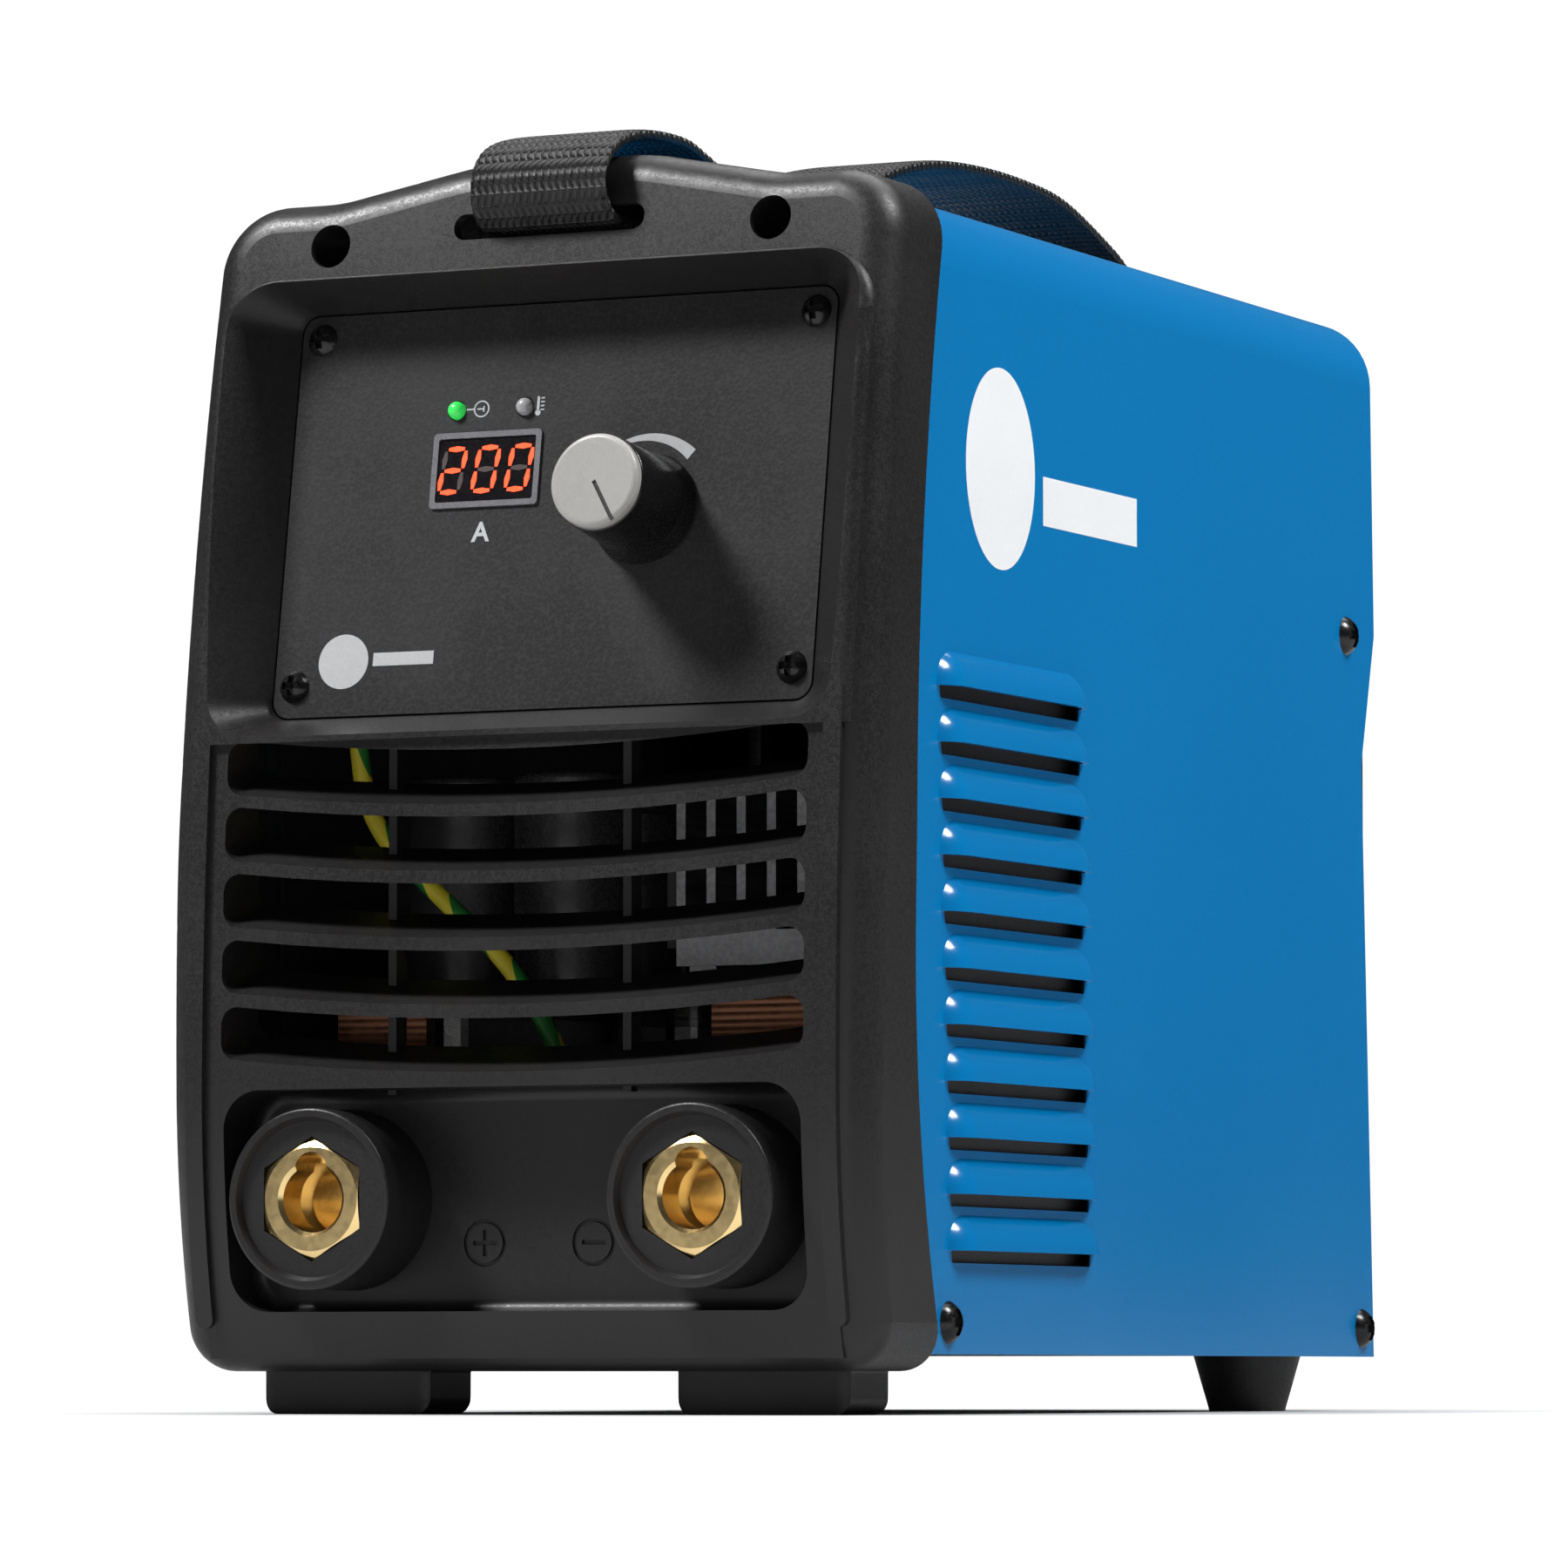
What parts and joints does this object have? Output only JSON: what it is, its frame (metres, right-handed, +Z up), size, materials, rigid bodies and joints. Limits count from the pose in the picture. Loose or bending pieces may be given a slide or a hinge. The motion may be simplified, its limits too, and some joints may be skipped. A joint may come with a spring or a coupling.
{
  "type": "inverter welding machine",
  "caption": "Portable stick and TIG welding power source: louvred steel cover, black front bezel, digital display, current knob, twist-lock sockets and carrying strap.",
  "frame": {"origin": "on the floor under the middle of the bounding box", "axes": "+X to the right seen from the front, +Y to the back, +Z up"},
  "size_m": [0.1558, 0.2911, 0.2699],
  "materials": {
    "black_plastic": "fine grain",
    "panel_black": "matt, fine leather grain",
    "black_steel": "black oxide",
    "display_grey": "matt",
    "display_lens": "dark window",
    "board_plastic": "moulded",
    "green_light": "lit",
    "clear_light": "diffuse, off",
    "circuit_board": "solder mask",
    "bright_steel": "zinc plated",
    "knob_black": "satin",
    "knob_grey": "satin",
    "brass": "machined",
    "copper": "bare copper",
    "blue_paint": "powder coat, satin",
    "tray_steel": "zinc plated",
    "black_rubber": "matt",
    "webbing": "twill webbing",
    "aluminium": "extruded",
    "capacitor_sleeve": "shrink sleeve",
    "ferrite": "sintered ferrite",
    "earth_insulation": "yellow and green"
  },
  "bodies": {
    "case": {"front_bezel": "black_plastic", "control_panel": "panel_black", "panel_screws": "black_steel", "display_frame": "display_grey", "display_window": "display_lens", "display_module": "board_plastic", "power_light": "green_light", "heat_light": "clear_light", "control_board": "circuit_board", "board_spacers": "board_plastic", "potentiometer": "bright_steel", "potentiometer_nut": "bright_steel", "socket_collar_left": "black_plastic", "socket_collar_right": "black_plastic", "socket_insert_left": "brass", "socket_insert_right": "brass", "socket_nuts": "brass", "busbar_left": "copper", "busbar_right": "copper", "top_cover": "blue_paint", "cover_screws": "black_steel", "base_tray": "tray_steel", "rear_feet": "black_rubber", "foot_screws": "black_steel", "foot_nuts": "bright_steel", "rear_panel": "black_plastic", "rear_screws": "black_steel", "carry_strap": "webbing", "strap_anchors": "bright_steel", "fan_frame": "board_plastic", "fan_guard": "black_steel", "fan_screws": "black_steel", "power_switch": "board_plastic", "cable_gland": "board_plastic", "gland_nut": "board_plastic", "main_board": "circuit_board", "board_pillars": "bright_steel", "heatsink": "aluminium", "power_transistors": "board_plastic", "bus_capacitors": "capacitor_sleeve", "rectifier": "board_plastic", "transformer_core": "ferrite", "transformer_winding": "copper", "output_choke": "copper", "insulation_sheets": "board_plastic", "earth_wire": "earth_insulation", "earth_stud": "brass", "wire_clip": "board_plastic"},
    "knob": {"potentiometer_shaft": "bright_steel", "knob_body": "knob_black", "knob_cap": "knob_grey"},
    "fan": {"fan_rotor": "board_plastic"},
    "rocker": {"switch_rocker": "board_plastic"}
  },
  "joints": [
    {"name": "knob_turn", "type": "hinge", "parent": "case", "child": "knob", "pos_m": [0.0205, -0.12161, 0.17802], "axis": [0, -0.9876, 0.1571], "range_deg": [0, 300]},
    {"name": "fan_spin", "type": "hinge", "parent": "case", "child": "fan", "pos_m": [0, 0.125, 0.152], "axis": [0, 1, 0], "continuous": true},
    {"name": "switch_rock", "type": "hinge", "parent": "case", "child": "rocker", "pos_m": [-0.042, 0.136, 0.216], "axis": [1, 0, 0], "range_deg": [0, 16]}
  ]
}
